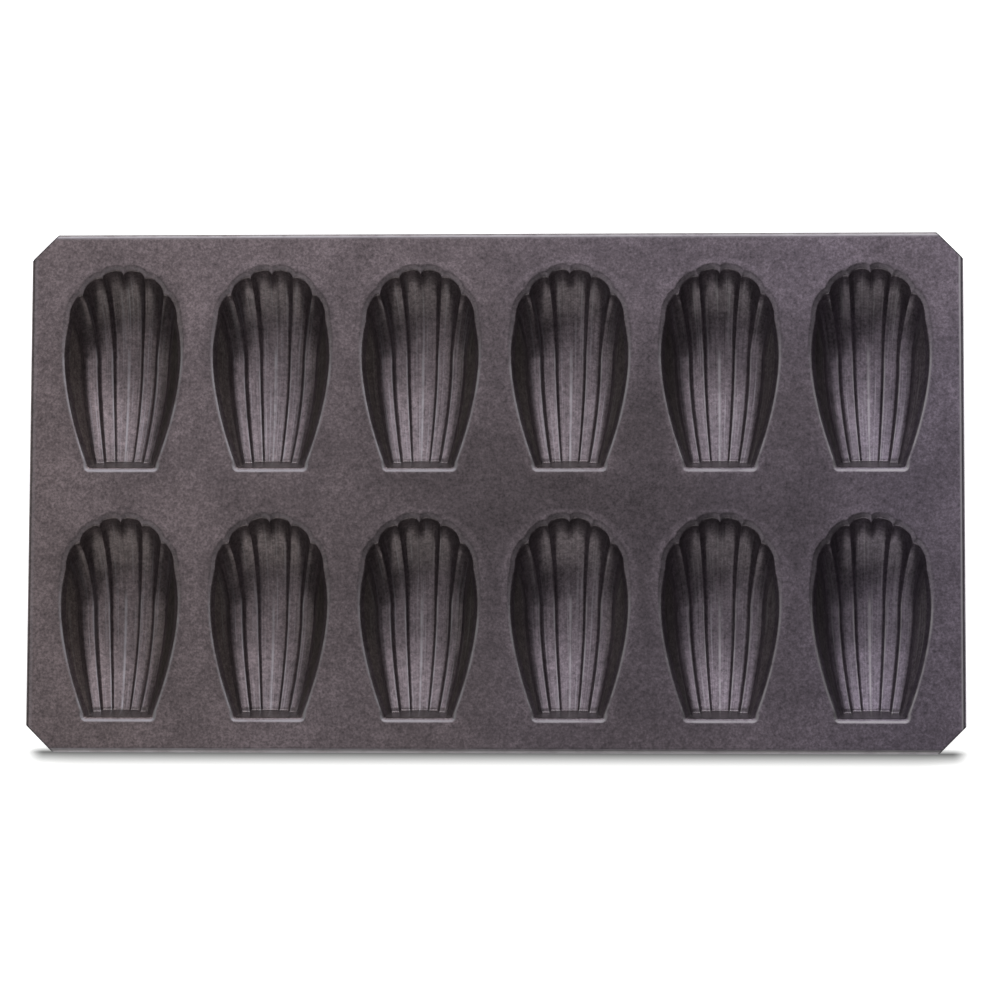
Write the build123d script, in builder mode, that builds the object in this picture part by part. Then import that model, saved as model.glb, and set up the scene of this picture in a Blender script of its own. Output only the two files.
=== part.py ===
# Madeleine pan: twelve fluted shell moulds pressed into one coated steel sheet.
# Millimetres, +Z up, with the origin under the pan's middle on the surface it stands on.
# The moulds' narrow ends face -Y and their scalloped fan ends face +Y.
# The pressing is split where it is formed, into a deck, twelve moulds and four rolled edges.

import os
from math import atan2, cos, degrees, hypot, radians, sin, sqrt, tan

from build123d import *

os.makedirs("parts", exist_ok=True)

# Sheet and deck
sheet = 0.7
corner_cut = 10.7
side_margin = 8.2
front_margin = 9.15
back_margin = 9.65

# Rolled edges and the wires inside them
wire_radius = 0.8
wire_clearance = 0.05
wire_setback = 0.6
roll_turn = 290

# Mould layout
columns = 6
row_names = ("front", "back")
column_web = 2.4
row_web = 10.6

# One mould, sized where its walls would meet the deck if the shoulder were sharp
shell_length = 78.2
widest_half_width = 23.5
widest_reach = 43.8
narrow_half_width = 13.9
mould_depth = 18.5
end_wall_depth = 11.2
end_wall_draft = 18
foot_radius = 2.0
shoulder_under_radius = 1.3
base_rise = 6.0
fan_axis_rise = 8.0
fan_spread_share = 0.08
flank_power = 1.68
floor_power = 2.2

# Flutes: how far they stand out of the ridges, and the ridges' angles round a section
narrow_flute_height = 0.45
widest_flute_height = 1.1
crest_flute_height = 1.4
narrow_ridge_angles = (0, 15, 31.5, 45)
widest_ridge_angles = (0, 15.5, 31, 44)
crest_ridge_angles = (0, 18.7, 39.3, 64)
ridge_power = 1.3
rim_angle = 90

# Where the cross-sections stand: along the trough, and in turns about the fan's axis
trough_shares = (0.27, 0.53, 0.8, 1)
fan_turn_shares = (0.23, 0.46, 0.69, 0.92, 1.15)

# The drawn ring of deck round each mould
ring_margin = 4.8
ring_corner_radius = 6.5
ring_waist_radius = 13.0
ring_waist_share = 0.85

# Levels
deck_top = mould_depth + sheet
deck_under = deck_top - sheet
roll_hole_radius = wire_radius + wire_clearance
roll_radius = roll_hole_radius + sheet
roll_level = deck_top - roll_radius

# Places
ring_half_width = widest_half_width + ring_margin
ring_length = shell_length + 2 * ring_margin
column_pitch = 2 * ring_half_width + column_web
row_pitch = ring_length + row_web
pan_length = columns * column_pitch - column_web + 2 * side_margin
pan_width = len(row_names) * row_pitch - row_web + front_margin + back_margin
front_rim_y = front_margin + ring_margin - pan_width / 2
mould_places = [
    (f"mould_{row_name}_{column + 1}", (column - (columns - 1) / 2) * column_pitch, front_rim_y + row * row_pitch)
    for row, row_name in enumerate(row_names)
    for column in range(columns)
]


def blend(start, end, share):
    """A value part of the way from start to end."""
    return start + (end - start) * share


def blend_angles(start, end, share):
    """Ridge angles part of the way from one set to another."""
    return [blend(a, b, share) for a, b in zip(start, end)]


def base_point(half_width, depth, angle):
    """A point of a section's half-elliptic base curve, with Y pointing down into the mould."""
    return half_width * sin(radians(angle)), depth * cos(radians(angle))


def section_plane(reach, rise, lean):
    """A plane across the mould, at a reach from the narrow end and a rise above the deck."""
    turn = radians(lean)
    return Plane(origin=(0, reach, deck_top + rise), x_dir=(1, 0, 0), z_dir=(0, cos(turn), sin(turn)))


def flute_section(plane, half_width, depth, flute_height, ridge_angles):
    """One cross-section of the hollow: eight flutes side by side, closed above the deck."""
    angles = list(ridge_angles) + [rim_angle]
    corners = [base_point(half_width - flute_height, depth - flute_height, angle) for angle in ridge_angles]
    corners.append(base_point(half_width, depth, rim_angle))
    with BuildSketch(plane) as section:
        with BuildLine():
            for k in range(len(ridge_angles)):
                bottom = base_point(half_width, depth, (angles[k] + angles[k + 1]) / 2)
                for side in (1, -1):
                    ThreePointArc(
                        (side * corners[k][0], corners[k][1]),
                        (side * bottom[0], bottom[1]),
                        (side * corners[k + 1][0], corners[k + 1][1]),
                    )
            Line(corners[-1], (-corners[-1][0], corners[-1][1]))
        make_face()
    return section.sketch


def trough_section(share, skin):
    """A section from the narrow end, at share 0, to the widest place, at share 1."""
    lean = end_wall_draft if share == 0 else 0
    slant = cos(radians(lean))
    foot_reach = end_wall_depth * tan(radians(end_wall_draft))
    reach = share * widest_reach
    flank = (1 - share) ** flank_power
    half_width = blend(widest_half_width, narrow_half_width, flank)
    floor_share = (widest_reach - max(reach, foot_reach)) / (widest_reach - foot_reach)
    floor_depth = blend(mould_depth, end_wall_depth, floor_share**floor_power)
    ridge_angles = blend_angles(narrow_ridge_angles, widest_ridge_angles, share)
    depth = (floor_depth + base_rise) / slant / cos(radians(ridge_angles[1] / 2))
    base_half_width = half_width / sqrt(1 - (base_rise / slant / depth) ** 2)
    wall_shift = skin / slant if share == 0 else 0
    plane = section_plane(reach - base_rise * tan(radians(lean)) - wall_shift, base_rise, lean)
    flute_height = blend(narrow_flute_height, widest_flute_height, share)
    return flute_section(plane, base_half_width + skin, depth + skin, flute_height, ridge_angles)


def fan_section(share, skin):
    """A section turned about the fan's axis, from the widest place, at 0, past the crest, at 1."""
    crest_reach = shell_length - widest_reach
    crest_turn = atan2(crest_reach, fan_axis_rise)
    turn = share * crest_turn
    hub = fan_axis_rise - base_rise
    widest_radius = mould_depth + fan_axis_rise
    fan_length = crest_reach / sqrt(1 - (fan_axis_rise / widest_radius) ** 2)
    radius = fan_length * widest_radius / hypot(widest_radius * sin(turn), fan_length * cos(turn))
    ridge_angles = blend_angles(widest_ridge_angles, crest_ridge_angles, share**ridge_power)
    depth = (radius - hub) / cos(radians(ridge_angles[1] / 2))
    base_half_width = widest_half_width / sqrt(1 - (base_rise / (widest_radius - hub)) ** 2)
    base_half_width *= 1 + fan_spread_share * share**2
    plane = section_plane(widest_reach + hub * sin(turn), fan_axis_rise - hub * cos(turn), degrees(turn))
    flute_height = blend(widest_flute_height, crest_flute_height, share)
    return flute_section(plane, base_half_width + skin, depth + skin, flute_height, ridge_angles)


def mould_hollow(skin):
    """The hollow of one mould, grown by a skin on every side and open past the deck."""
    with BuildPart() as hollow:
        loft(sections=[trough_section(share, skin) for share in (0,) + trough_shares])
        loft(sections=[trough_section(1, skin)] + [fan_section(share, skin) for share in fan_turn_shares])
        end_wall = hollow.faces().filter_by(GeomType.PLANE).sort_by(Axis.Y)[0]
        foot_edges = end_wall.edges().filter_by(GeomType.LINE, reverse=True)
        fillet(foot_edges, foot_radius + skin)
    return hollow.part


# Outline of the drawn ring round one mould
with BuildSketch(Plane.XY.offset(deck_under)) as ring:
    with Locations((0, shell_length + ring_margin - ring_half_width)):
        Circle(ring_half_width)
    with Locations((ring_half_width - ring_waist_radius, ring_waist_share * widest_reach)):
        Circle(ring_waist_radius)
    with Locations((narrow_half_width + ring_margin - ring_corner_radius, ring_corner_radius - ring_margin)):
        Circle(ring_corner_radius)
    mirror(about=Plane.YZ)
    make_hull()

# One mould: drawn ring, rounded shoulder and fluted shell of even thickness
with BuildPart() as mould_body:
    add(ring.sketch)
    extrude(amount=sheet)
    add(mould_hollow(sheet))
    split(bisect_by=Plane.XY.offset(deck_top), keep=Keep.BOTTOM)
    ring_underside = mould_body.faces().filter_by(Plane.XY).group_by(Axis.Z)[-2][0]
    fillet(ring_underside.inner_wires()[0].edges(), shoulder_under_radius)

with BuildPart() as mould_form:
    add(mould_body.part)
    add(mould_hollow(0), mode=Mode.SUBTRACT)
    ring_top = mould_form.faces().filter_by(Plane.XY).sort_by(Axis.Z)[-1]
    fillet(ring_top.inner_wires()[0].edges(), shoulder_under_radius + sheet)

for name, x, y in mould_places:
    with BuildPart() as mould:
        with Locations((x, y, 0)):
            add(mould_form.part)
    mould.part.label = name
    export_step(mould.part, f"parts/{name}.step")

# Pan outline with its four corners cut off
with BuildSketch() as pan_outline:
    Rectangle(pan_length, pan_width)
    chamfer(pan_outline.vertices(), corner_cut)

# Deck: the flat sheet between the rolled edges and round the moulds
with BuildPart() as deck:
    with BuildSketch(Plane.XY.offset(deck_under)):
        add(pan_outline.sketch_local)
        Rectangle(pan_length - 2 * roll_radius, pan_width - 2 * roll_radius, mode=Mode.INTERSECT)
        with Locations([(x, y) for name, x, y in mould_places]):
            add(ring.sketch_local, mode=Mode.SUBTRACT)
    extrude(amount=sheet)
deck.part.label = "deck"
export_step(deck.part, "parts/deck.step")

# Edges: the sheet rolled under round a stiffening wire, cut off with the corners
edges = (
    ("front", Vector(0, -1, 0), pan_width, pan_length),
    ("back", Vector(0, 1, 0), pan_width, pan_length),
    ("left", Vector(-1, 0, 0), pan_length, pan_width),
    ("right", Vector(1, 0, 0), pan_length, pan_width),
)
for side, outward, span, edge_length in edges:
    middle = outward * (span / 2 - roll_radius) + Vector(0, 0, roll_level)
    edge_plane = Plane(origin=middle, x_dir=outward, z_dir=outward.cross(Vector(0, 0, 1)))
    with BuildPart() as rolled_edge:
        with BuildSketch(edge_plane):
            with BuildLine():
                outside = CenterArc((0, 0), roll_radius, 90, -roll_turn)
                inside = CenterArc((0, 0), roll_hole_radius, 90, -roll_turn)
                Line(outside @ 0, inside @ 0)
                Line(outside @ 1, inside @ 1)
            make_face()
        extrude(amount=edge_length / 2, both=True)
        with BuildSketch():
            add(pan_outline.sketch_local)
        extrude(amount=2 * deck_top, mode=Mode.INTERSECT)
    rolled_edge.part.label = f"rolled_edge_{side}"
    export_step(rolled_edge.part, f"parts/{rolled_edge.part.label}.step")

    with BuildPart() as edge_wire:
        with BuildSketch(edge_plane):
            Circle(wire_radius)
        extrude(amount=edge_length / 2 - corner_cut - wire_setback, both=True)
    edge_wire.part.label = f"edge_wire_{side}"
    export_step(edge_wire.part, f"parts/{edge_wire.part.label}.step")
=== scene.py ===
# Looks of the madeleine pan: a coated steel pressing with twelve fluted moulds.
# The forms follow the solids' values, with flutes and shoulders in more detail. They are worked out in
# millimetres, with a mould's X from its middle line and its Y from its narrow end, and built in metres.

from math import cos, pi, radians, sin, tan

import bpy
import numpy as np
from mathutils import Matrix, Vector
from mathutils.geometry import delaunay_2d_cdt


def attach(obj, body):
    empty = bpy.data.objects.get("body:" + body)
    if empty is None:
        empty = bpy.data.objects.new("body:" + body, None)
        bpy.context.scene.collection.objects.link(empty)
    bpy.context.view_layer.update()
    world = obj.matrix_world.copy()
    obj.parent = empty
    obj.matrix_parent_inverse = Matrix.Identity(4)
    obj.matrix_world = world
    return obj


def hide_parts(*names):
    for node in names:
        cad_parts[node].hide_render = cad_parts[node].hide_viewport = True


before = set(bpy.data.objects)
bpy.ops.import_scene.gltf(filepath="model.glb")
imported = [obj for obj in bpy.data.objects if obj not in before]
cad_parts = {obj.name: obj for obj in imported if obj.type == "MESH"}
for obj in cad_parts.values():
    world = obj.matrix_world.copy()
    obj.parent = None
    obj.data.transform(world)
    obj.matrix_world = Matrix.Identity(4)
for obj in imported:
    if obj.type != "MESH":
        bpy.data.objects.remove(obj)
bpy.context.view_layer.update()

MM = 0.001

# Sheet and pan
SHEET = 0.7
PAN_LENGTH = 368.0
PAN_WIDTH = 205.0
CORNER_CUT = 10.7
ROLL_RADIUS = 1.55
ROLL_HOLE_RADIUS = 0.85
ROLL_TURN = 290
COLUMNS = 6
COLUMN_PITCH = 59.0
ROW_PITCH = 98.4
FRONT_RIM_Y = -88.55

# One mould, before its shoulder is rounded
SHELL_LENGTH = 78.2
WIDEST_HALF_WIDTH = 23.5
WIDEST_REACH = 43.8
NARROW_HALF_WIDTH = 13.9
MOULD_DEPTH = 18.5
END_WALL_DEPTH = 11.2
END_WALL_DRAFT = 18
BASE_RISE = 6.0
FAN_AXIS_RISE = 8.0
FAN_SPREAD = 0.08
FLANK_POWER = 1.68
FLOOR_POWER = 2.2
FLUTE_HEIGHTS = {"narrow": 0.8, "widest": 1.2, "crest": 1.4}
RIDGE_ANGLES = {"narrow": (0, 14.5, 32, 51.5), "widest": (0, 15.5, 31.5, 51), "crest": (0, 20.2, 42, 66)}
RIDGE_POWER = 1.3
RIDGE_SOFTNESS = 0.08

# Shape of the flutes, each pair from the trough to the fan's crest
FLUTE_BOTTOM_SHARES = (0.82, 0.58)
FLUTE_POWERS = (1.2, 4.0)
BOTTOM_POWER = 3
ROUNDING_POWER = 5
OUTER_FLUTE_DIP = 0.5
WALL_POWER = 2.2
CENTRE_RIDGE_SHARES = (0.25, 1.5)
CENTRE_RIDGE_POWER = 5
OUTER_RIDGE_SHARES = (1.0, 0.7)
FOOT_SOFTNESS = 1.6
END_WALL_SETBACK = 0.5

# The shoulder: a shallow band round the hollow and a tight edge where the wall begins. Levels are over the deck.
BAND_WIDTHS = {"end": 1.6, "flank": 0.75, "fan": 1.9}
BAND_REACHES = {"end": (0, 3), "fan": (36, 58)}
BAND_SLOPE = 0.25
BAND_BEND = 0.2
EDGE_SOFTNESS = 0.7
LINE_WIDTH = 0.28
LINE_LEVEL = -0.3
UNDER_SOFTNESS = 2.0
RING_FADE = 3.0
RING_LEVEL = -1.2

# Lighter coating on the shoulder and the floor's ridges, both wear and painted highlight, and painted light on
# the end wall: how strong it is, and where it lies or fades
FLANK_WEAR_AND_HIGHLIGHT = 1.7
FAN_BAND_WEAR_AND_HIGHLIGHT = 0.45
FAN_BAND = (0.8, 0.7)
FAN_BAND_LEVEL = -0.9
RIM_PLACES = (0.5, 1.0)
RIM_WIDTH = 0.45
RIM_LEVEL = -0.7
RIM_END = (0, 2)
# Painted light on the end wall: how strong, and where it fades at its foot and its head
END_WALL_PAINTED_LIGHT = 0.3
END_WALL_FOOT = (2.9, 3.5)
END_WALL_HEAD = (-0.8, -1.6)
FLOOR_WEAR_AND_HIGHLIGHT = 1.3
FLOOR_WEAR_REACHES = (44, 52)
FLOOR_WEAR_TOP = -3
RIDGE_WEAR_AND_HIGHLIGHT = ((0, 0.03, 0.07, 0.13), (1, 0.9, 0.5, 0))

# Degrees round a rolled edge: of the painted light line at its start, and of its lighter part, worn and painted
# highlight
JOINT_TURN = 16
RUBBED_AND_LIT_TURN = 75

# The drawn ring round one mould, where the moulds meet the deck
RING_MARGIN = 4.8
RING_CORNER_RADIUS = 6.5
RING_WAIST_RADIUS = 13.0
RING_WAIST_SHARE = 0.85

DECK_TOP = MOULD_DEPTH + SHEET
ROLL_LEVEL = DECK_TOP - ROLL_RADIUS
DECK_HALF = (PAN_LENGTH / 2 - ROLL_RADIUS, PAN_WIDTH / 2 - ROLL_RADIUS)
# The cut corners lie where |X| + |Y| comes to this
CORNER_SUM = PAN_LENGTH / 2 + PAN_WIDTH / 2 - CORNER_CUT
HUB_RADIUS = FAN_AXIS_RISE - BASE_RISE
WIDEST_RADIUS = MOULD_DEPTH + FAN_AXIS_RISE
CREST_REACH = SHELL_LENGTH - WIDEST_REACH
CREST_TURN = np.arctan2(CREST_REACH, FAN_AXIS_RISE)
FAN_LENGTH = CREST_REACH / np.sqrt(1 - (FAN_AXIS_RISE / WIDEST_RADIUS) ** 2)

# The stretch of a mould's middle line that rays to its rim leave from, and how far out they are searched
SPINE = (13, 50)
OUTLINE_RAYS = (6.0, 34.0)
RING_RAYS = (4.0, 60.0)

# The slight sink and swell of the flat sheet round a mould: height, place outside the ring, width
SWELL = (0.04, -3.0, 2.0)
SINK = (0.03, -0.2, 1.6)
DISH_REACHES = (30, 62)
DISH_DEPTH = 1.6
DISH_FLATNESS = 0.6

# Half of the box in plan that holds a mould's ring and its dish, and the box's middle along Y
MOULD_BOX = (36, 52)
MOULD_BOX_MIDDLE = 39

# Mesh density, and how closely places are searched
TROUGH_ROWS = 30
TROUGH_SPACING = 1.8
FAN_ROWS = 30
FAN_SPACING = 1.6
FLUTE_SHARES = (0.03, 0.07, 0.13, 0.22, 0.34, 0.48, 0.62, 0.74, 0.82, 0.87, 0.91, 0.95, 1)
WALL_SHARES = (0.04, 0.1, 0.2, 0.35, 0.5, 0.64, 0.76, 0.85, 0.91, 0.95, 0.98, 1)
RING_ROWS = 20
RING_SPACING = 1.3
OUTLINE_POINTS = 400
RING_DIRECTIONS = 720
DECK_STEP = 2.0
DECK_MARGIN = 0.8
CORNER_MARGIN = 1.5
RING_GAP = 0.7
ROLL_STEPS = 48
BEAD_STATIONS = 121
HALVINGS = 24
SLOPE_STEP = 0.05
FAR_OFF = 99.0


# Form of one mould


def blend(start, end, share):
    return start + (end - start) * share


def smooth_max(a, b, k):
    """The larger of two values, with the crease between them rounded."""
    near = np.clip(1 - np.abs(a - b) / k, 0, None)
    return np.maximum(a, b) + near * near * k / 4


def smooth_step(start, end, value):
    """From 0 at the start to 1 at the end, with no corner."""
    share = np.clip((value - start) / (end - start), 0, 1)
    return share * share * (3 - 2 * share)


def bell(value, middle, width):
    """1 at the middle, falling off on both sides."""
    return np.exp(-(((value - middle) / width) ** 2))


def ridge_insets(section):
    """How far a section's four ridges stand in from its base curve, from the middle one outwards."""
    half_width, depth, flute_height, angles, crest_share = section
    centre = blend(*CENTRE_RIDGE_SHARES, crest_share**CENTRE_RIDGE_POWER)
    outer = blend(*OUTER_RIDGE_SHARES, crest_share)
    return [centre * flute_height, flute_height, flute_height, outer * flute_height]


def ridge_places(section):
    """Distances of a section's ridges from its middle, and of the rim end of its base curve."""
    half_width, depth, flute_height, angles, crest_share = section
    ridges = [(half_width - inset) * np.sin(angle) for inset, angle in zip(ridge_insets(section), angles)]
    return ridges + [half_width]


def section_depth(x, section):
    """Depth of a fluted section at a distance x from its middle."""
    half_width, depth, flute_height, angles, crest_share = section
    x = np.abs(x)
    bottom = blend(*FLUTE_BOTTOM_SHARES, crest_share**BOTTOM_POWER)
    power = blend(*FLUTE_POWERS, crest_share**ROUNDING_POWER)
    ridges = ridge_places(section)
    insets = ridge_insets(section)
    inset = np.zeros_like(x)
    for k in range(len(angles)):
        share = np.clip((x - ridges[k]) / (ridges[k + 1] - ridges[k]), 0, 1)
        if k == len(angles) - 1:
            # The side wall is nearly flat
            top = insets[k] + 0 * x
            bowl = top * (1 - share**WALL_POWER)
        else:
            # A long gentle side up to the flute's bottom, and a short steep one after it
            gentle = share < bottom
            top = np.where(gentle, insets[k], insets[k + 1])
            inner_slope = np.clip(1 - share / bottom, 0, 1) ** power
            outer_slope = np.clip((share - bottom) / (1 - bottom), 0, 1) ** power
            bowl = top * np.where(gentle, inner_slope, outer_slope)
            if k == len(angles) - 2:
                dip = np.where(gentle, share / bottom, np.clip(1 - share, 0, 1) / (1 - bottom))
                bowl = bowl - OUTER_FLUTE_DIP * (1 - crest_share) * dip
        full = np.maximum(np.hypot(top, RIDGE_SOFTNESS) - RIDGE_SOFTNESS, 1e-6)
        rounded = top * (1 - (np.hypot(top - bowl, RIDGE_SOFTNESS) - RIDGE_SOFTNESS) / full)
        bowl = np.where(bowl > 0, rounded, bowl)
        inset = np.where((x >= ridges[k]) & (x < ridges[k + 1]), bowl, inset)
    across = x / (half_width - inset)
    return (depth - inset) * np.sqrt(np.maximum(1 - across**2, 0))


def trough_section(y, skin):
    """The section between the end wall and the widest place.

    A section is its half-width, depth, flute height, ridge angles and share of the way to the crest.
    """
    foot_reach = END_WALL_DEPTH * tan(radians(END_WALL_DRAFT))
    share = np.clip(y / WIDEST_REACH, 0, 1)
    half_width = blend(WIDEST_HALF_WIDTH, NARROW_HALF_WIDTH, (1 - share) ** FLANK_POWER)
    floor_share = (WIDEST_REACH - np.clip(y, foot_reach, WIDEST_REACH)) / (WIDEST_REACH - foot_reach)
    floor = blend(MOULD_DEPTH, END_WALL_DEPTH, floor_share**FLOOR_POWER)
    angles = [np.radians(blend(a, b, share)) for a, b in zip(RIDGE_ANGLES["narrow"], RIDGE_ANGLES["widest"])]
    depth = (floor + BASE_RISE) / np.cos(angles[1] / 2)
    base_half_width = half_width / np.sqrt(1 - (BASE_RISE / depth) ** 2)
    flute_height = blend(FLUTE_HEIGHTS["narrow"], FLUTE_HEIGHTS["widest"], share)
    return base_half_width + skin, depth + skin, flute_height, angles, 0.0


def fan_section(turn, skin):
    """The section turned about the fan's axis, which lies over the widest place."""
    share = turn / CREST_TURN
    radius = FAN_LENGTH * WIDEST_RADIUS / np.hypot(WIDEST_RADIUS * np.sin(turn), FAN_LENGTH * np.cos(turn))
    turned = share**RIDGE_POWER
    angles = [np.radians(blend(a, b, turned)) for a, b in zip(RIDGE_ANGLES["widest"], RIDGE_ANGLES["crest"])]
    depth = (radius - HUB_RADIUS) / np.cos(angles[1] / 2)
    half_width = WIDEST_HALF_WIDTH / np.sqrt(1 - (BASE_RISE / (WIDEST_RADIUS - HUB_RADIUS)) ** 2)
    half_width *= 1 + FAN_SPREAD * share**2
    flute_height = blend(FLUTE_HEIGHTS["widest"], FLUTE_HEIGHTS["crest"], share)
    return half_width + skin, depth + skin, flute_height, angles, np.clip(share, 0, 1)


def trough_height(x, y, skin):
    """Level over the deck of the hollow's surface between the end wall and the widest place."""
    z = BASE_RISE - section_depth(x, trough_section(y, skin))
    end_wall = -(y + END_WALL_SETBACK + skin / cos(radians(END_WALL_DRAFT))) / tan(radians(END_WALL_DRAFT))
    return smooth_max(z, end_wall, FOOT_SOFTNESS)


def fan_height(x, y, skin):
    """Level over the deck of the hollow's surface past the widest place, found by halving."""
    past = y - WIDEST_REACH
    low = np.full_like(x, -MOULD_DEPTH - 4)
    high = np.full_like(x, BASE_RISE - 0.01)
    for _ in range(HALVINGS):
        z = (low + high) / 2
        reached = HUB_RADIUS + section_depth(x, fan_section(np.arctan2(past, FAN_AXIS_RISE - z), skin))
        solid = np.hypot(past, FAN_AXIS_RISE - z) > reached
        low = np.where(solid, z, low)
        high = np.where(solid, high, z)
    return (low + high) / 2


def hollow(x, y, skin=0.0):
    """Level over the deck of the hollow's surface at points in plan."""
    x, y = (np.asarray(v, float) for v in (x, y))
    z = np.empty_like(x)
    fan = y > WIDEST_REACH
    z[fan] = fan_height(x[fan], y[fan], skin)
    z[~fan] = trough_height(x[~fan], y[~fan], skin)
    return z


def halve(low, high, inside):
    """The place between low and high where inside stops being true."""
    for _ in range(HALVINGS):
        middle = (low + high) / 2
        found = inside(middle)
        low = np.where(found, middle, low)
        high = np.where(found, high, middle)
    return low


def reach_out(starts, ways, reaches, inside):
    """The places on rays where inside stops being true, searched between two distances."""
    low, high = (np.full(len(starts), r) for r in reaches)
    edge = halve(low, high, lambda r: inside(*(starts + ways * r[:, None]).T))
    return starts + ways * edge[:, None]


def spine_rays(points):
    """Starts on the mould's middle line and directions in plan of rays out through points."""
    starts = np.stack([0 * points[:, 0], np.clip(points[:, 1], *SPINE)], -1)
    ways = points - starts
    return starts, ways / np.linalg.norm(ways, axis=1, keepdims=True)


def hollow_outline():
    """Closed loop of points where the hollow would meet the deck if its edge were sharp."""
    angles = np.linspace(-pi / 2, 1.5 * pi, OUTLINE_POINTS, endpoint=False)
    middle, reach = (SPINE[0] + SPINE[1]) / 2, (SPINE[1] - SPINE[0]) / 2
    starts = np.stack([0 * angles, middle + reach * np.sin(angles)], -1)
    ways = np.stack([np.cos(angles), np.sin(angles)], -1)
    return reach_out(starts, ways, OUTLINE_RAYS, lambda x, y: hollow(x, y) < 0)


def ring_support(ways):
    """How far the drawn ring's outline reaches in each direction."""
    half_width = WIDEST_HALF_WIDTH + RING_MARGIN
    corner = NARROW_HALF_WIDTH + RING_MARGIN - RING_CORNER_RADIUS
    waist = half_width - RING_WAIST_RADIUS
    circles = [(0, SHELL_LENGTH + RING_MARGIN - half_width, half_width)]
    for side in (-1, 1):
        circles.append((side * waist, RING_WAIST_SHARE * WIDEST_REACH, RING_WAIST_RADIUS))
        circles.append((side * corner, RING_CORNER_RADIUS - RING_MARGIN, RING_CORNER_RADIUS))
    return np.max([ways[:, 0] * x + ways[:, 1] * y + r for x, y, r in circles], axis=0)


RING_ANGLES = np.linspace(0, 2 * pi, RING_DIRECTIONS, endpoint=False)
RING_WAYS = np.stack([np.cos(RING_ANGLES), np.sin(RING_ANGLES)], -1)
RING_REACH = ring_support(RING_WAYS)


def ring_distance(x, y):
    """Distance in plan outside the drawn ring's outline, negative inside it."""
    found = np.full(np.shape(x), -FAR_OFF)
    for (wx, wy), reach in zip(RING_WAYS, RING_REACH):
        np.maximum(found, x * wx + y * wy - reach, out=found)
    return found


def dish(x, y):
    """Height of the slight sink and swell that drawing leaves in the flat sheet round a mould."""
    away = ring_distance(x, y)
    swell, sink = (height * bell(away, place, width) for height, place, width in (SWELL, SINK))
    return (swell - sink) * smooth_step(*DISH_REACHES, y)


def dish_slopes(x, y, height):
    """Slopes of the sink and swell along X and Y, from its height at the same places."""
    across = (dish(x + SLOPE_STEP, y) - height) / SLOPE_STEP
    along = (dish(x, y + SLOPE_STEP) - height) / SLOPE_STEP
    return across, along


def near_mould(px, py, x, y):
    """Which places in plan lie near enough to the mould at x, y to be in its ring or its dish."""
    return (np.abs(px - x) < MOULD_BOX[0]) & (np.abs(py - y - MOULD_BOX_MIDDLE) < MOULD_BOX[1])


# Meshes


def add_object(name, data):
    """A new object in the scene, at the origin."""
    made = bpy.data.objects.new(name, data)
    bpy.context.scene.collection.objects.link(made)
    return made


def mesh_object(name, points, faces, normals=None, material=None, values=None):
    """A piece from points in millimetres, with normals given where they are known exactly."""
    mesh = bpy.data.meshes.new(name)
    mesh.from_pydata((np.asarray(points, float) * MM).tolist(), [], faces)
    mesh.validate()
    mesh.polygons.foreach_set("use_smooth", [True] * len(mesh.polygons))
    if normals is not None:
        mesh.normals_split_custom_set_from_vertices(np.asarray(normals, float).tolist())
    for key, value in (values or {}).items():
        mesh.attributes.new(key, "FLOAT", "POINT").data.foreach_set("value", np.asarray(value, np.float32))
    mesh.materials.append(material)
    mesh.update()
    return add_object(name, mesh)


def outline_distance(x, y, loop):
    """Distance in plan from points to the hollow's outline, a closed loop of points."""
    found = np.full(np.shape(x), FAR_OFF)
    for (ax, ay), (bx, by) in zip(loop, np.roll(loop, -1, axis=0)):
        ex, ey = bx - ax, by - ay
        share = np.clip(((x - ax) * ex + (y - ay) * ey) / (ex * ex + ey * ey), 0, 1)
        np.minimum(found, np.hypot(x - ax - ex * share, y - ay - ey * share), out=found)
    return found


def band_width(y):
    """Width of the shoulder's band, wider at the narrow end and round the fan."""
    width = blend(BAND_WIDTHS["end"], BAND_WIDTHS["flank"], smooth_step(*BAND_REACHES["end"], y))
    return blend(width, BAND_WIDTHS["fan"], smooth_step(*BAND_REACHES["fan"], y))


def sheet_level(x, y, outline, skin=0.0):
    """Level over the deck of the pressed sheet: hollow, tight edge, shallow band and flat ring."""
    off = np.zeros_like(x)
    outside = hollow(x, y) >= 0
    off[outside] = outline_distance(x[outside], y[outside], outline)
    band = BAND_SLOPE * smooth_max(band_width(y) - off, 0, BAND_BEND)
    return -smooth_max(-hollow(x, y, skin), band + skin, UNDER_SOFTNESS if skin else EDGE_SOFTNESS)


def sheet_surface(x, y, outline, skin=0.0, step=0.04):
    """Levels and upward normals of the pressed sheet at points in plan."""
    dx = sheet_level(x + step, y, outline, skin) - sheet_level(x - step, y, outline, skin)
    dy = sheet_level(x, y + step, outline, skin) - sheet_level(x, y - step, outline, skin)
    n = np.stack([-dx, -dy, np.full_like(dx, 2 * step)], -1)
    return sheet_level(x, y, outline, skin), n / np.linalg.norm(n, axis=1, keepdims=True)


def grid_lines():
    """The lines that run along a mould: each one's side, flute and share of the flute's width."""
    half = [(1, 0, 0.0)]
    for flute in range(4):
        half += [(1, flute, share) for share in (WALL_SHARES if flute == 3 else FLUTE_SHARES)]
    lines = [(-side, flute, share) for side, flute, share in half[:0:-1]] + half
    return (np.array(v) for v in zip(*lines))


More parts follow.
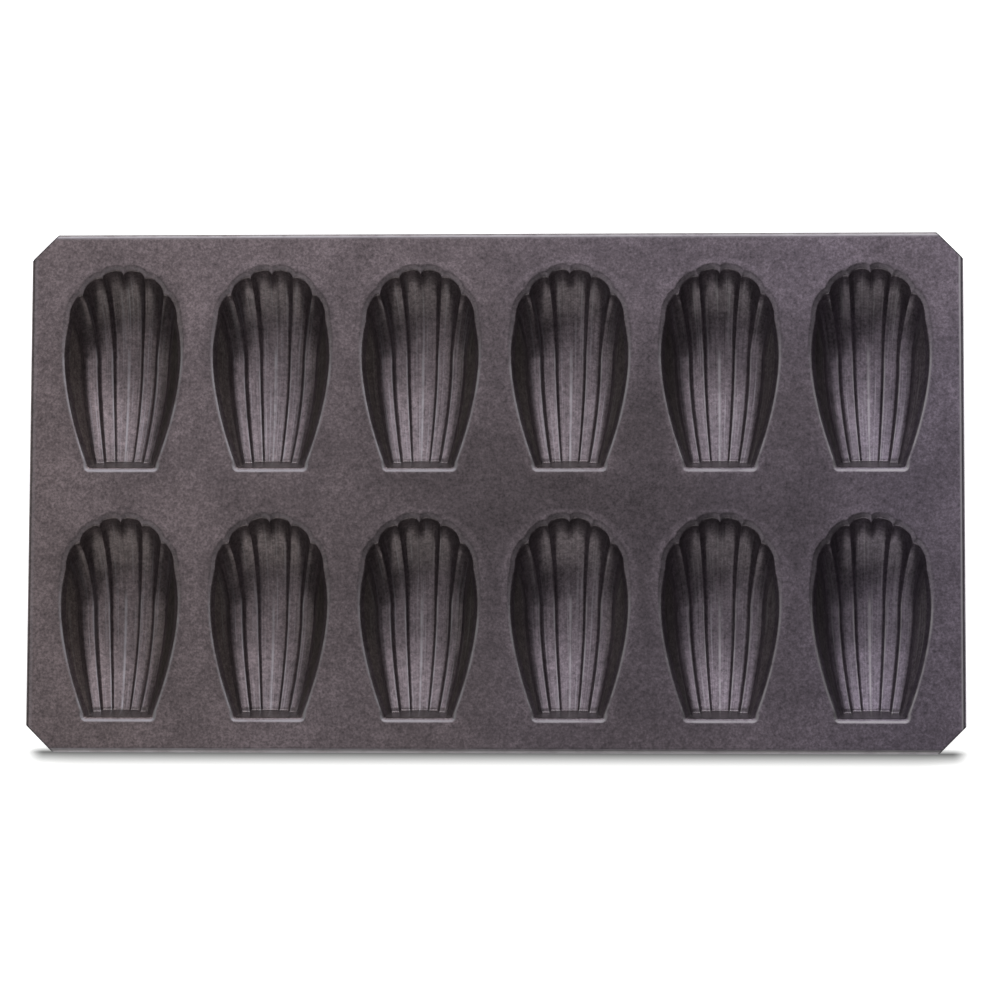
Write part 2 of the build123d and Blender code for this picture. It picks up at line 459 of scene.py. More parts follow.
def grid_plan(skin):
    """Plan places of the mould's grid: lines along the flutes, rows from the end wall to the fan's rim."""
    side, flute, share = grid_lines()

    def line_places(section, outer):
        ridges = np.array(np.broadcast_arrays(*ridge_places(section)[:4], outer))
        columns = np.arange(len(flute))
        return blend(ridges[flute, columns], ridges[flute + 1, columns], share)

    def fan_depth(x, turn):
        return HUB_RADIUS + section_depth(x, fan_section(turn, skin))

    def fan_outer(turn):
        """Where the outermost flute comes up to the deck's level."""
        ridge = ridge_places(fan_section(turn, skin))[3]
        level = (FAN_AXIS_RISE + skin) / np.cos(turn)
        return halve(ridge, ridge + 12, lambda x: fan_depth(x, turn) > level)

    plan = []
    draft = radians(END_WALL_DRAFT)
    start = -END_WALL_SETBACK - skin * (1 / cos(draft) - tan(draft))
    for k in range(TROUGH_ROWS + 1):
        y = np.full(len(flute), blend(start, WIDEST_REACH, (k / TROUGH_ROWS) ** TROUGH_SPACING))
        section = trough_section(y, skin)
        outer = section[0] * np.sqrt(1 - ((BASE_RISE + skin) / section[1]) ** 2)
        plan.append(np.column_stack([side * line_places(section, outer), y]))

    def under_deck(turn):
        x = line_places(fan_section(turn, skin), 0)
        return fan_depth(x, turn) > (FAN_AXIS_RISE + skin) / np.cos(turn)

    ends = halve(np.zeros(len(flute)), np.full(len(flute), 1.5), under_deck)
    ends[flute == 3] = ends[(flute == 2) & (share == 1)][0]
    for k in range(1, FAN_ROWS + 1):
        turn = ends * (1 - (1 - k / FAN_ROWS) ** FAN_SPACING)
        x = line_places(fan_section(turn, skin), fan_outer(turn))
        plan.append(np.column_stack([side * x, WIDEST_REACH + fan_depth(x, turn) * np.sin(turn)]))
    return np.array(plan)


def grid_loop(rows, columns, wall):
    """Places of the grid's boundary, anticlockwise, where wall is the number of lines in an outer flute."""
    loop = [(0, j) for j in range(columns)]
    loop += [(i, columns - 1) for i in range(1, rows - 1)]
    loop += [(rows - 1, j) for j in range(columns - 1 - wall, wall - 1, -1)]
    return loop + [(i, 0) for i in range(rows - 2, 0, -1)]


def mould_mesh():
    """Points, faces, normals and surface values of one mould, and the loop where it meets the deck."""
    outline = hollow_outline()
    wall = len(WALL_SHARES)
    points, normals, faces = [], [], []
    values = {"painted_shade_mark": [], "wear_and_highlight": [], "across": [], "ring": []}
    side, flute, share = grid_lines()
    ridge = share == 1
    ridge_wear_and_highlight = np.interp(share - ridge, *RIDGE_WEAR_AND_HIGHLIGHT) * (flute + ridge < 3)
    ring = None
    for skin, up in ((0.0, True), (SHEET, False)):
        plan = grid_plan(skin)
        rows, columns = plan.shape[:2]
        loop = grid_loop(rows, columns, wall)
        index = np.arange(rows * columns).reshape(rows, columns)
        # The outer flutes run out to a point, at the notch that ends their ridge
        index[-1, :wall] = index[-1, wall]
        index[-1, -wall:] = index[-1, -wall - 1]
        inner = np.array([plan[i, j] for i, j in loop])
        if ring is None:
            ring = reach_out(*spine_rays(inner), RING_RAYS, lambda x, y: ring_distance(x, y) < 0)
        first = sum(len(p) for p in points)
        sheet = [plan.reshape(-1, 2)]
        quads = [
            (index[i, j], index[i, j + 1], index[i + 1, j + 1], index[i + 1, j])
            for i in range(rows - 1)
            for j in range(columns - 1)
        ]
        rims = [[index[i, j] for i, j in loop]]
        for k in range(1, RING_ROWS + 1):
            rims.append(list(range(rows * columns + (k - 1) * len(loop), rows * columns + k * len(loop))))
            sheet.append(blend(inner, ring, (k / RING_ROWS) ** RING_SPACING))
        for a, b in zip(rims, rims[1:]):
            quads += [(a[t - 1], b[t - 1], b[t], a[t]) for t in range(len(loop))]
        for quad in quads:
            corners = list(dict.fromkeys(int(first + v) for v in quad))
            if len(corners) > 2:
                faces.append(corners if up else corners[::-1])
        x, y = np.concatenate(sheet).T
        z, n = sheet_surface(x, y, outline, skin)
        points.append(np.column_stack([x, y, z]))
        normals.append(n if up else -n)

        # Lighter coating along the shoulder and on the ridges of the floor, both wear and painted highlight, and
        # painted light on the end wall
        off = outline_distance(x, y, outline)
        fan = smooth_step(*BAND_REACHES["fan"], y)
        end = 1 - smooth_step(*RIM_END, y)
        rim_highlight_line = bell(off, blend(*RIM_PLACES, end), RIM_WIDTH) * (z > RIM_LEVEL)
        rim_wear_and_highlight = rim_highlight_line * (1 - fan) * (FLANK_WEAR_AND_HIGHLIGHT + end)
        rim_wear_and_highlight += FAN_BAND_WEAR_AND_HIGHLIGHT * fan * bell(off, *FAN_BAND) * (z > FAN_BAND_LEVEL)
        # Painted light that makes the end wall lighter
        end_wall_painted_light = END_WALL_PAINTED_LIGHT * (1 - smooth_step(*END_WALL_FOOT, y)) * smooth_step(*END_WALL_HEAD, z)
        floor_wear_and_highlight, across = np.zeros(len(x)), np.zeros(len(x))
        in_grid = slice(rows * columns)
        floor_wear_and_highlight[in_grid] = np.tile(ridge_wear_and_highlight, rows) * (1 - smooth_step(*FLOOR_WEAR_REACHES, y[in_grid]))
        floor_wear_and_highlight *= z < FLOOR_WEAR_TOP
        across[in_grid] = np.tile(side * (flute + share), rows)
        values["wear_and_highlight"].append((rim_wear_and_highlight + FLOOR_WEAR_AND_HIGHLIGHT * floor_wear_and_highlight + end_wall_painted_light) * up)
        # A painted shade line where the band begins round the fan
        values["painted_shade_mark"].append(bell(off, band_width(y), LINE_WIDTH) * (z > LINE_LEVEL) * fan * up)
        values["ring"].append(smooth_step(0, -RING_FADE, ring_distance(x, y)) * (z > RING_LEVEL) * up)
        values["across"].append(across)
    values = {key: np.concatenate(parts) for key, parts in values.items()}
    return np.concatenate(points), faces, np.concatenate(normals), values, ring


def with_dish(points, normals):
    """The flat sheet's slight sink and swell, laid on points near the deck's level."""
    x, y, z = points.T
    weight = smooth_step(-DISH_DEPTH, 0, z)
    lift = dish(x, y)
    dx, dy = dish_slopes(x, y, lift)
    points = points + np.column_stack([0 * lift, 0 * lift, lift * weight])
    flat = np.abs(normals[:, 2]) > DISH_FLATNESS
    sign = np.sign(normals[:, 2])
    normals = normals + np.column_stack([-dx * weight * sign, -dy * weight * sign, 0 * lift]) * flat[:, None]
    return points, normals / np.linalg.norm(normals, axis=1, keepdims=True)


# Materials. A colour ramp runs from 0 to 1, so a place in metres is scaled up before it.


# Colours of painted highlight and painted shade lines
PAINTED_HIGHLIGHT_LINE, PAINTED_SHADE_LINE = (0.3, 0.28, 0.305, 1), (0.03, 0.027, 0.03, 1)
# Colour of the painted shade line at the shoulder's band and the front bead
BAND_SHADE_COLOUR = (0.025, 0.022, 0.025, 1)
# Colour of worn coating, also used for painted highlights
COATING_WEAR_AND_HIGHLIGHT = (0.2, 0.185, 0.2, 1)
RUBBED_STREAK = (0.2, 0.185, 0.205, 1)
FLECK = (0.3, 0.28, 0.29, 1)
WHITE = (1, 1, 1, 1)

# From the pan's left to its right
COATING_TONES = (
    (0.0, (0.113, 0.089, 0.0935, 1)),
    (0.5, (0.107, 0.086, 0.0965, 1)),
    (1.0, (0.101, 0.083, 0.1065, 1)),
)

# Scale, detail, roughness and swing of the coating's unevenness
COATING_GRAIN = ((45.0, 2.0, 0.5, 0.18), (360.0, 4.0, 0.65, 0.29), (1000.0, 3.0, 0.7, 0.42))

# Painted light on the side walls: from walls that face away from the pan's middle, darker, to those that face
# it, paler, and greener in their shade
WALL_PAINTED_LIGHT = (
    (0.0, (0.66, 0.7, 0.6, 1)),
    (0.5, (1.0, 1.06, 0.9, 1)),
    (1.0, (1.5, 1.55, 1.4, 1)),
)

# Painted highlight and painted shade lines at the rolled edges: axis, place and half width in metres, strength
# and colour
EDGE_X, EDGE_Y = (half * MM for half in DECK_HALF)
PAINTED_EDGE_LINES = (
    ("X", EDGE_X, 0.0007, 0.75, PAINTED_HIGHLIGHT_LINE),
    ("X", -EDGE_X + 0.0004, 0.0009, 0.14, PAINTED_HIGHLIGHT_LINE),
    ("X", -EDGE_X - 0.0006, 0.0006, 0.4, PAINTED_SHADE_LINE),
    ("X", -EDGE_X - 0.0014, 0.0003, 0.6, PAINTED_HIGHLIGHT_LINE),
    ("Y", EDGE_Y, 0.001, 0.3, PAINTED_HIGHLIGHT_LINE),
    ("Y", -EDGE_Y + 0.0003, 0.0006, 0.25, PAINTED_SHADE_LINE),
    ("Y", -EDGE_Y - 0.0007, 0.001, 0.45, PAINTED_HIGHLIGHT_LINE),
)
# How far in from the cut corners their painted shade begins, in millimetres
CORNER_SHADE_LINE = 0.9


def new_material(name):
    """An empty node material and its tree."""
    material = bpy.data.materials.new(name)
    material.use_nodes = True
    material.node_tree.nodes.clear()
    return material, material.node_tree


def add_node(tree, kind, inputs=None, **settings):
    """A node with its settings, and its inputs linked to sockets or set to values."""
    node = tree.nodes.new(kind)
    for key, value in settings.items():
        setattr(node, key, value)
    for key, value in (inputs or {}).items():
        if isinstance(value, bpy.types.NodeSocket):
            tree.links.new(value, node.inputs[key])
        else:
            node.inputs[key].default_value = value
    return node


def ramp(tree, factor, stops, interpolation="LINEAR"):
    """Colours or grey values along a factor from 0 to 1."""
    node = add_node(tree, "ShaderNodeValToRGB", {"Fac": factor})
    node.color_ramp.interpolation = interpolation
    elements = node.color_ramp.elements
    while len(elements) < len(stops):
        elements.new(0.5)
    for element, (place, value) in zip(elements, stops):
        element.position = place
        element.color = value if isinstance(value, tuple) else (value, value, value, 1)
    return node.outputs["Color"]


def calc(tree, operation, a, b=0.0, c=0.5, clamp=False):
    """A sum on numbers. With MULTIPLY_ADD it is a times b plus c."""
    inputs = {0: a, 1: b, 2: c}
    return add_node(tree, "ShaderNodeMath", inputs, operation=operation, use_clamp=clamp).outputs[0]


def vector_calc(tree, operation, a, b=(0, 0, 0)):
    return add_node(tree, "ShaderNodeVectorMath", {0: a, 1: b}, operation=operation).outputs[0]


def mix_colour(tree, factor, a, b, kind="MIX"):
    inputs = {0: factor, 6: a, 7: b}
    return add_node(tree, "ShaderNodeMix", inputs, data_type="RGBA", blend_type=kind).outputs[2]


def multiplied(tree, colour, by, share=1.0):
    """A colour multiplied by another, as far as a share says."""
    return mix_colour(tree, share, colour, by, "MULTIPLY")


def noise(tree, place, scale, detail=2.0, roughness=0.5):
    inputs = {"Vector": place, "Scale": scale, "Detail": detail, "Roughness": roughness}
    return add_node(tree, "ShaderNodeTexNoise", inputs).outputs["Fac"]


def bump(tree, height, strength, distance, under=None):
    """Normals of a bump, laid over those of another."""
    inputs = {"Height": height, "Strength": strength, "Distance": distance}
    if under:
        inputs["Normal"] = under
    return add_node(tree, "ShaderNodeBump", inputs).outputs[0]


def attribute(tree, name):
    """A value that the mesh carries at its points."""
    return add_node(tree, "ShaderNodeAttribute", attribute_name=name).outputs["Fac"]


def position(tree):
    return add_node(tree, "ShaderNodeNewGeometry").outputs["Position"]


def separated(tree, place):
    return add_node(tree, "ShaderNodeSeparateXYZ", {0: place}).outputs


def corner_sum(tree, x, y):
    """|X| + |Y|, which is even along the pan's cut corners."""
    return calc(tree, "ADD", calc(tree, "ABSOLUTE", x), calc(tree, "ABSOLUTE", y))


def coating_material():
    """Satin dark non-stick coating: fine speckle, soft cloudiness, light rubbing and hairline marks, with
    painted highlights and painted shade on its edges, walls and flat sheet.
    """
    material, tree = new_material("coating")
    place = position(tree)
    x, y, z = separated(tree, place)

    # Warm on the left, cooler on the right, with slow clouds
    rightward = calc(tree, "MULTIPLY_ADD", x, 2.4)
    wander = calc(tree, "MULTIPLY_ADD", noise(tree, place, 9.0, 3.0), 0.7, -0.35)
    colour = ramp(tree, calc(tree, "ADD", rightward, wander, clamp=True), COATING_TONES)

    # Uneven from fingertip size down to the fine speckle of the cured coating, which the bump uses too
    for scale, detail, roughness, swing in COATING_GRAIN:
        grain = noise(tree, place, scale, detail, roughness)
        colour = multiplied(tree, colour, ramp(tree, grain, [(0.3, 1 - swing), (0.7, 1 + swing)]))

    # Light flecks, in one cell out of five
    cells = add_node(tree, "ShaderNodeTexVoronoi", {"Vector": place, "Scale": 620.0, "Randomness": 1.0})
    pick = add_node(tree, "ShaderNodeSeparateColor", {0: cells.outputs["Color"]})
    chosen = calc(tree, "GREATER_THAN", pick.outputs[0], 0.8)
    flecks = calc(tree, "MULTIPLY", ramp(tree, cells.outputs["Distance"], [(0.0, 1.0), (0.16, 0.0)]), chosen)
    colour = mix_colour(tree, calc(tree, "MULTIPLY", flecks, 0.3), colour, FLECK)

    # Fine streaks that follow the flutes, some rubbed light and some dull, other ones in each mould
    across = attribute(tree, "across")
    over_flutes, along_flutes = calc(tree, "MULTIPLY", across, 9.0), calc(tree, "MULTIPLY", y, 22.0)
    flute_place = add_node(tree, "ShaderNodeCombineXYZ", {0: over_flutes, 1: along_flutes}).outputs[0]
    which = add_node(tree, "ShaderNodeObjectInfo").outputs["Location"]
    spread = vector_calc(tree, "MULTIPLY", which, (300, 300, 300))
    hair = noise(tree, vector_calc(tree, "ADD", flute_place, spread), 1.0, 3.0, 0.6)
    inside = calc(tree, "LESS_THAN", z, (DECK_TOP - 3) * MM)
    light_hair = calc(tree, "MULTIPLY", ramp(tree, hair, [(0.55, 0.0), (0.7, 1.0)]), inside)
    colour = mix_colour(tree, calc(tree, "MULTIPLY", light_hair, 0.55), colour, RUBBED_STREAK)
    colour = multiplied(tree, colour, ramp(tree, hair, [(0.32, 0.66), (0.46, 1.0)]), inside)

    # Side walls: painted light, a touch greener in shade and paler where they face the pan's middle
    outermost = calc(tree, "MULTIPLY", calc(tree, "ABSOLUTE", across), 0.25)
    wall = calc(tree, "MULTIPLY", ramp(tree, outermost, [(0.7, 0.0), (0.8, 1.0)]), inside)
    facing_lit = calc(tree, "MULTIPLY_ADD", calc(tree, "MULTIPLY", calc(tree, "SIGN", across), x), 3.0)
    colour = multiplied(tree, colour, ramp(tree, facing_lit, WALL_PAINTED_LIGHT), wall)

    # Edges and ridges lighter, both rubbed by use and painted highlight, and the end wall lighter with painted
    # light
    rubbed_and_lit = ramp(tree, noise(tree, place, 130.0, 3.0, 0.6), [(0.35, 0.25), (0.6, 0.75)])
    wear_and_highlight = calc(tree, "MULTIPLY", attribute(tree, "wear_and_highlight"), rubbed_and_lit, clamp=True)
    colour = mix_colour(tree, wear_and_highlight, colour, COATING_WEAR_AND_HIGHLIGHT)

    # Painted shade on the flat sheet: darker towards its middle, and less so in the moulds' rings
    to_middle = {"Vector": place, "Location": (-0.22, 0.075, 0), "Scale": (5.26, 6.25, 0)}
    centred = add_node(tree, "ShaderNodeMapping", to_middle).outputs[0]
    far = add_node(tree, "ShaderNodeVectorMath", {0: centred}, operation="LENGTH").outputs["Value"]
    painted_sheet_shade = ramp(tree, far, [(0.0, 0.6), (1.0, 1.2)], "EASE")
    painted_sheet_shade = mix_colour(tree, calc(tree, "MULTIPLY", attribute(tree, "ring"), 0.65), painted_sheet_shade, WHITE)
    flat = ramp(tree, calc(tree, "MULTIPLY", z, 50.0), [(0.71, 0.0), (0.935, 1.0)])
    colour = multiplied(tree, colour, painted_sheet_shade, flat)

    # Painted highlight and painted shade lines where the rolled edges leave the flat sheet, and painted shade
    # along the cut corners
    for axis, middle, half_width, strength, tint in PAINTED_EDGE_LINES:
        away = calc(tree, "ABSOLUTE", calc(tree, "SUBTRACT", {"X": x, "Y": y}[axis], middle))
        line = ramp(tree, calc(tree, "DIVIDE", away, half_width), [(0.0, strength), (1.0, 0.0)], "EASE")
        colour = mix_colour(tree, line, colour, tint)
    past = calc(tree, "SUBTRACT", corner_sum(tree, x, y), (CORNER_SUM - CORNER_SHADE_LINE) * MM)
    corner = ramp(tree, calc(tree, "MULTIPLY", past, 1000.0), [(0.0, 0.0), (0.5, 0.8)])
    colour = mix_colour(tree, corner, colour, PAINTED_SHADE_LINE)

    # Painted shade: the thin dark line where the shoulder's band begins round the fan, and where the front bead
    # leaves the flat sheet
    painted_shade_mark = calc(tree, "MULTIPLY", attribute(tree, "painted_shade_mark"), 0.3)
    colour = mix_colour(tree, painted_shade_mark, colour, BAND_SHADE_COLOUR)

    # Satin, a little uneven, on a slowly waving sheet with orange peel and the speckle's grain
    roughness = ramp(tree, noise(tree, place, 34.0, 4.0, 0.6), [(0.3, 0.29), (0.7, 0.36)])
    waves = bump(tree, noise(tree, place, 17.0, 1.0, 0.4), 1.0, 0.0006)
    peel = bump(tree, noise(tree, place, 1500.0), 0.2, 0.0001, waves)
    normal = bump(tree, grain, 0.12, 0.0001, peel)
    look = {"Base Color": colour, "Roughness": roughness, "Normal": normal, "Metallic": 0.72, "IOR": 1.5}
    surface = add_node(tree, "ShaderNodeBsdfPrincipled", look)
    add_node(tree, "ShaderNodeOutputMaterial", {0: surface.outputs[0]})
    return material


def wire_material():
    """Drawn steel wire with a fine grain."""
    material, tree = new_material("wire")
    grain = noise(tree, position(tree), 900.0, 3.0)
    look = {
        "Base Color": ramp(tree, grain, [(0.3, (0.24, 0.23, 0.23, 1)), (0.7, (0.36, 0.35, 0.34, 1))]),
        "Roughness": ramp(tree, grain, [(0.3, 0.32), (0.7, 0.5)]),
        "Normal": bump(tree, grain, 0.3, 0.0001),
        "Metallic": 1.0,
    }
    surface = add_node(tree, "ShaderNodeBsdfPrincipled", look)
    add_node(tree, "ShaderNodeOutputMaterial", {0: surface.outputs[0]})
    return material


coating = coating_material()
wire = wire_material()


# The twelve moulds share one mesh
points, faces, normals, values, rim = mould_mesh()
points, normals = with_dish(points, normals)
points[:, 2] += DECK_TOP
mould_places = []
shared = None
for row, row_name in enumerate(("front", "back")):
    for column in range(COLUMNS):
        x = (column - (COLUMNS - 1) / 2) * COLUMN_PITCH
        y = FRONT_RIM_Y + row * ROW_PITCH
        name = f"{row_name}_{column + 1}"
        mould_places.append((x, y))
        if shared is None:
            piece = mesh_object(f"shell_{name}", points, faces, normals, coating, values)
            shared = piece.data
        else:
            piece = add_object(f"shell_{name}", shared)
        piece.location = (x * MM, y * MM, 0)
        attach(piece, "root")
        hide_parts(f"mould_{name}")


# Deck: flat sheet between the rolled edges, meshed round the moulds


def deck_outline():
    """The eight corners of the flat sheet, anticlockwise."""
    half_x, half_y = DECK_HALF
    cut = half_x + half_y - CORNER_SUM
    return [
        (half_x - cut, -half_y),
        (half_x, -half_y + cut),
        (half_x, half_y - cut),
        (half_x - cut, half_y),
        (-half_x + cut, half_y),
        (-half_x, half_y - cut),
        (-half_x, -half_y + cut),
        (-half_x + cut, -half_y),
    ]


deck_corners = deck_outline()
outline = []
for a, b in zip(deck_corners, deck_corners[1:] + deck_corners[:1]):
    a, b = np.array(a), np.array(b)
    steps = max(1, round(np.linalg.norm(b - a) / DECK_STEP))
    outline += [tuple(a + (b - a) * k / steps) for k in range(steps)]

deck_points = list(outline)
deck_edges = [(k, (k + 1) % len(outline)) for k in range(len(outline))]
for x, y in mould_places:
    first = len(deck_points)
    deck_points += [tuple(p) for p in rim + (x, y)]
    deck_edges += [(first + k, first + (k + 1) % len(rim)) for k in range(len(rim))]

# Points inside the sheet, clear of its outline and of the moulds' rings
half_x, half_y = (half - DECK_MARGIN for half in DECK_HALF)
gx, gy = np.meshgrid(np.arange(-half_x, half_x, DECK_STEP), np.arange(-half_y, half_y, DECK_STEP))
gx, gy = gx.ravel(), gy.ravel()
free = np.abs(gx) + np.abs(gy) < CORNER_SUM - CORNER_MARGIN
for x, y in mould_places:
    near = free & near_mould(gx, gy, x, y)
    free[near] = ring_distance(gx[near] - x, gy[near] - y) > RING_GAP
deck_points += list(zip(gx[free], gy[free]))
found = delaunay_2d_cdt([Vector(p) for p in deck_points], deck_edges, [], 0, 1e-6)
flat = np.array([tuple(v) for v in found[0]])
triangles = np.array([f for f in found[2] if len(f) == 3])
middles = flat[triangles].mean(axis=1)
keep = np.abs(middles).sum(axis=1) < CORNER_SUM
for x, y in mould_places:
    near = keep & near_mould(*middles.T, x, y)
    keep[near] = ring_distance(middles[near, 0] - x, middles[near, 1] - y) > -1e-3
triangles = triangles[keep]

# The sheet's two sides, with its slight sink and swell
lift, slope_x, slope_y = np.zeros((3, len(flat)))
for x, y in mould_places:
    near = near_mould(*flat.T, x, y)
    px, py = flat[near, 0] - x, flat[near, 1] - y
    height = dish(px, py)
    across, along = dish_slopes(px, py, height)
    lift[near] += height
    slope_x[near] += across
    slope_y[near] += along
top = np.column_stack([flat, DECK_TOP + lift])
top_normals = np.column_stack([-slope_x, -slope_y, np.ones(len(flat))])
top_normals /= np.linalg.norm(top_normals, axis=1, keepdims=True)
under = triangles[:, ::-1] + len(flat)
deck_faces = [tuple(t) for t in triangles.tolist() + under.tolist()]
deck = mesh_object(
    "deck_sheet",
    np.concatenate([top, top - (0, 0, SHEET)]),
    deck_faces,
    np.concatenate([top_normals, -top_normals]),
    coating,
)
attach(deck, "root")
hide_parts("deck")

# Cut faces of the sheet at the four corners, which are every other side of its outline
corner_points, corner_faces = [], []
for k in range(0, len(deck_corners), 2):
    a, b = deck_corners[k], deck_corners[k + 1]
    first = len(corner_points)
    corner_points += [(*a, DECK_TOP), (*b, DECK_TOP), (*b, DECK_TOP - SHEET), (*a, DECK_TOP - SHEET)]
    corner_faces.append((first + 3, first + 2, first + 1, first))
cuts = mesh_object("corner_cuts", corner_points, corner_faces, None, coating)
cuts.parent = deck


# Rolled edges, cut off with the corners


def rolled_edge(side, outward, span, length, joint_light, rubbed_and_lit):
    """The sheet's edge turned under in a hollow bead, with its ends on the corner cuts.

    Where it leaves the flat sheet it shows a painted highlight line for a positive joint value and a painted
    shade line for a negative one. The top of its round is lighter, both worn and painted highlight.
    """
    outward = np.array(outward, float)
    along = np.array([-outward[1], outward[0], 0.0])
    up = np.array([0.0, 0.0, 1.0])
    turns = np.radians(90 - np.linspace(0, ROLL_TURN, ROLL_STEPS + 1))
    profile, profile_normals, turned = [], [], []
    for radius, sign, order in ((ROLL_RADIUS, 1, turns), (ROLL_HOLE_RADIUS, -1, turns[::-1])):
        for turn in order:
            way = outward * cos(turn) + up * sin(turn)
            profile.append(radius * way)
            profile_normals.append(sign * way)
            turned.append(90 - np.degrees(turn) if sign > 0 else 180)
    profile, profile_normals = np.array(profile), np.array(profile_normals)
    # The ends lie on the 45 degree cuts: the farther out, the shorter
    reach = length / 2 + span / 2 - CORNER_CUT - (profile @ outward + span / 2 - ROLL_RADIUS)
    middle = outward * (span / 2 - ROLL_RADIUS) + up * ROLL_LEVEL
    stations = np.linspace(-1, 1, BEAD_STATIONS)
    points = np.concatenate([middle + profile + along * (station * reach)[:, None] for station in stations])
    normals = np.tile(profile_normals, (len(stations), 1))
    count = len(profile)
    faces = []
    for i in range(len(stations) - 1):
        for j in range(count):
            a, b = i * count + j, i * count + (j + 1) % count
            faces.append((a, b, b + count, a + count))
    # End faces of the bead's sheet
    last = (len(stations) - 1) * count
    for j in range(count // 2 - 1):
        faces.append((j, j + 1, count - 2 - j, count - 1 - j)[::-1])
        faces.append((last + j, last + j + 1, last + count - 2 - j, last + count - 1 - j))
    # Painted highlight and painted shade lines where the bead leaves the flat sheet, and the lighter part of its
    # round, worn and painted highlight
    turned = np.array(turned)
    start = bell(turned, 0, JOINT_TURN)
    values = {
        "wear_and_highlight": np.tile(start * max(joint_light, 0) + rubbed_and_lit * (turned < RUBBED_AND_LIT_TURN), len(stations)),
        "painted_shade_mark": np.tile(start * max(-joint_light, 0), len(stations)),
    }
    piece = mesh_object(f"bead_{side}", points, faces, normals, coating, values)
    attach(piece, "root")
    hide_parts(f"rolled_edge_{side}")
    return piece


# The last two numbers set each bead's line of painted light where it leaves the sheet, and its lighter part,
# worn and painted highlight
rolled_edge("front", (0, -1, 0), PAN_WIDTH, PAN_LENGTH, -0.6, 1.2)
rolled_edge("back", (0, 1, 0), PAN_WIDTH, PAN_LENGTH, 1.4, 1.2)
rolled_edge("left", (-1, 0, 0), PAN_LENGTH, PAN_WIDTH, 0.3, 0.0)
rolled_edge("right", (1, 0, 0), PAN_LENGTH, PAN_WIDTH, 2.0, 0.5)

for side in ("front", "back", "left", "right"):
    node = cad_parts[f"edge_wire_{side}"]
    node.data.materials.clear()
    node.data.materials.append(wire)


# Floor, lights and camera


GROUND_GREY = 0.8
GROUND_GLOW = 0.8
GROUND_HALF = 4


def floor_material():
    """White ground with the pan's shadow painted on by position, closest and darkest along its near edge."""
    material, tree = new_material("ground")
    x, y, _ = separated(tree, position(tree))
    beside = calc(tree, "MULTIPLY", calc(tree, "ABSOLUTE", x), 5.0)
    behind = calc(tree, "MULTIPLY", y, 5.0)
    before = calc(tree, "MULTIPLY", y, -8.0)

    # Painted shadow under the pan, up to its ends, its back and its cut corners
    corner = calc(tree, "MULTIPLY", corner_sum(tree, x, y), 3.0)
    under = ramp(tree, beside, [(0.75, 1.0), (0.92, 0.0)], "EASE")
    under = calc(tree, "MULTIPLY", under, ramp(tree, behind, [(0.3, 1.0), (0.5, 0.0)], "EASE"))
    under = calc(tree, "MULTIPLY", under, ramp(tree, corner, [(0.75, 1.0), (0.822, 0.0)], "EASE"))

    # Painted shadow in a narrow strip along its near edge, which fades out to the front
    strip = ramp(tree, beside, [(0.8975, 1.0), (0.9425, 0.0)], "EASE")
    strip = calc(tree, "MULTIPLY", strip, ramp(tree, before, [(0.8, 0.0), (0.8165, 1.0)]))
    painted_shadow = calc(tree, "MAXIMUM", under, strip)
    painted_shadow = calc(tree, "MULTIPLY", painted_shadow, ramp(tree, before, [(0.8165, 0.86), (0.856, 0.0)]))
    open_share = calc(tree, "SUBTRACT", 1.0, painted_shadow)

    # The camera, glass and reflections see the ground with its painted shadow, and other light meets a plain one
    shaded_colour = ramp(tree, open_share, [(0.0, 0.0), (1.0, GROUND_GREY)])
    shaded = add_node(tree, "ShaderNodeBsdfDiffuse", {"Color": shaded_colour})
    glow_strength = calc(tree, "MULTIPLY", open_share, GROUND_GLOW)
    glow = add_node(tree, "ShaderNodeEmission", {"Color": WHITE, "Strength": glow_strength})
    both = add_node(tree, "ShaderNodeAddShader", {0: shaded.outputs[0], 1: glow.outputs[0]})
    plain = add_node(tree, "ShaderNodeBsdfDiffuse", {"Color": (GROUND_GREY, GROUND_GREY, GROUND_GREY, 1)})
    path = add_node(tree, "ShaderNodeLightPath")
    seen = calc(tree, "MAXIMUM", path.outputs["Is Camera Ray"], path.outputs["Is Transmission Ray"])
    seen = calc(tree, "MAXIMUM", seen, path.outputs["Is Glossy Ray"])
    shown = add_node(tree, "ShaderNodeMixShader", {0: seen, 1: plain.outputs[0], 2: both.outputs[0]})
    add_node(tree, "ShaderNodeOutputMaterial", {0: shown.outputs[0]})
    return material


ground = bpy.data.meshes.new("ground")
ground_corners = [(x * GROUND_HALF, y * GROUND_HALF, 0) for x, y in ((-1, -1), (1, -1), (1, 1), (-1, 1))]
ground.from_pydata(ground_corners, [], [(0, 1, 2, 3)])
ground.materials.append(floor_material())
floor = add_object("floor", ground)

scene = bpy.context.scene
scene.view_settings.view_transform = "Standard"

# White to the camera, and nearly dark to everything else
world = bpy.data.worlds.new("studio")
world.use_nodes = True
scene.world = world
tree = world.node_tree
tree.nodes.clear()
path = add_node(tree, "ShaderNodeLightPath")
dim = add_node(tree, "ShaderNodeBackground", {"Color": (0.95, 1, 0.85, 1), "Strength": 0.02})
white = add_node(tree, "ShaderNodeBackground", {"Color": WHITE, "Strength": 1.0})
shown = {0: path.outputs["Is Camera Ray"], 1: dim.outputs[0], 2: white.outputs[0]}
add_node(tree, "ShaderNodeOutputWorld", {0: add_node(tree, "ShaderNodeMixShader", shown).outputs[0]})

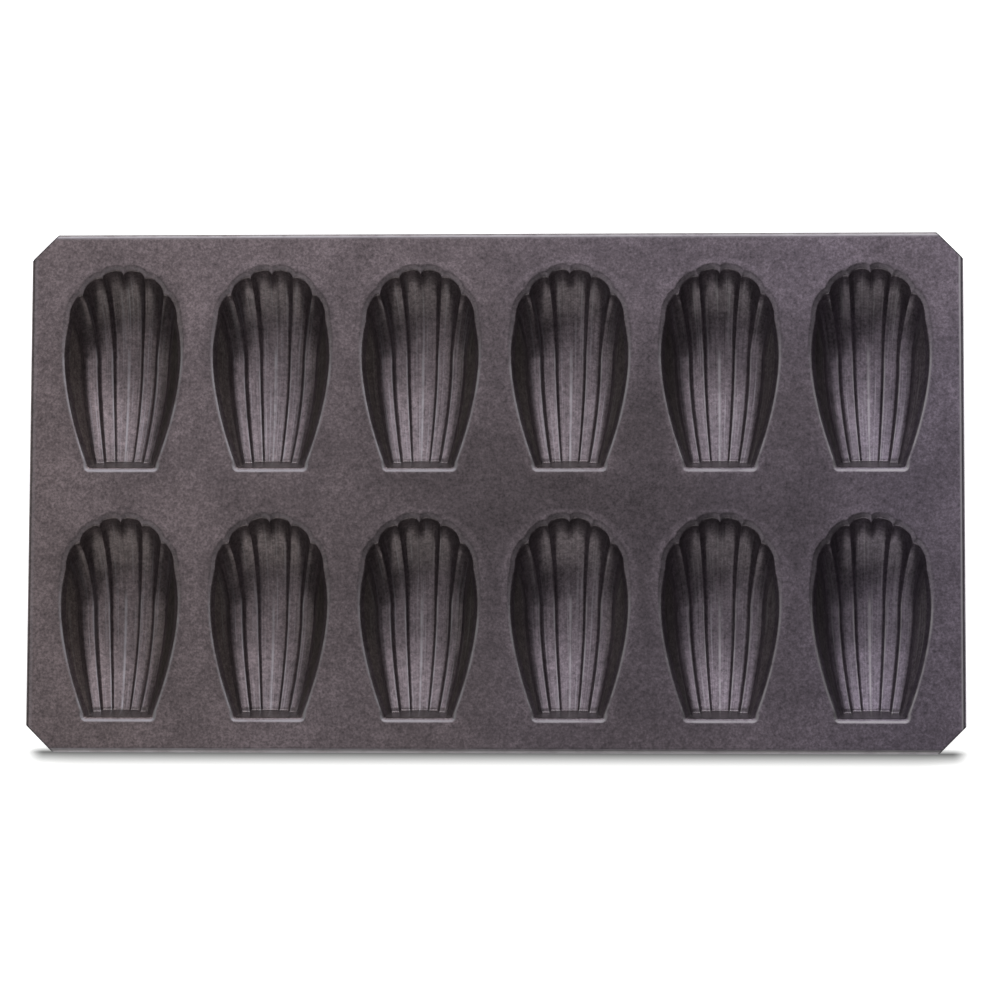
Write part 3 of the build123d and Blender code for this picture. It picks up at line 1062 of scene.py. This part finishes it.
# Lamps: name, place, size, watts and colour. All of them look at the pan's middle.
LAMPS = (
    ("overhead", (-0.1, 0.1, 1.7), (2.8, 1.2), 8.2, (1, 1, 1)),
    ("high_back", (0, 0.85, 1.5), (2.6, 0.7), 10.2, (0.97, 0.97, 1)),
    ("mid_back", (0, 1.4, 1.3), (2.2, 0.7), 8.2, (0.93, 0.94, 1)),
    ("low_back", (0, 1.7, 0.75), (2.2, 0.6), 16.3, (0.97, 1, 0.92)),
    ("low_front", (-0.2, -1.75, 0.45), (2.2, 0.8), 7, (0.97, 1, 0.92)),
    ("mid_front", (-0.1, -1.3, 1.1), (2.2, 0.6), 3.4, (0.97, 1, 0.92)),
    ("left_fill", (-1.4, 0.2, 1.1), (0.7, 1.4), 1.8, (0.97, 1, 0.9)),
)
for name, place, size, watts, colour in LAMPS:
    light = bpy.data.lights.new(name, "AREA")
    light.shape = "RECTANGLE"
    light.size, light.size_y = size
    light.energy = watts
    light.color = colour
    lamp = add_object(name, light)
    lamp.location = place
    lamp.rotation_euler = (-Vector(place)).to_track_quat("-Z", "Y").to_euler()

# Camera, found by fitting the pan's edges and rim lines in the picture. Its distance is in millimetres.
DISTANCE = 1500
PIXELS_PER_MM = 2.548
PICTURE_WIDTH = 1000
SENSOR_WIDTH = 36
TILT, YAW, ROLL = radians(5.12), radians(2.71), radians(-0.022)
target = Vector((0.00228, -0.00334, DECK_TOP * MM))
right, up, back = Vector((1, 0, 0)), Vector((0, cos(TILT), sin(TILT))), Vector((0, -sin(TILT), cos(TILT)))
right, back = cos(YAW) * right - sin(YAW) * back, sin(YAW) * right + cos(YAW) * back
right, up = cos(ROLL) * right + sin(ROLL) * up, -sin(ROLL) * right + cos(ROLL) * up
camera_data = bpy.data.cameras.new("camera")
camera_data.sensor_fit = "HORIZONTAL"
camera_data.sensor_width = SENSOR_WIDTH
camera_data.lens = SENSOR_WIDTH * PIXELS_PER_MM * DISTANCE / PICTURE_WIDTH
camera_data.clip_end = 20
camera = add_object("camera", camera_data)
turn = Matrix((right, up, back)).transposed().to_4x4()
camera.matrix_world = Matrix.Translation(target + back * DISTANCE * MM) @ turn
scene.camera = camera
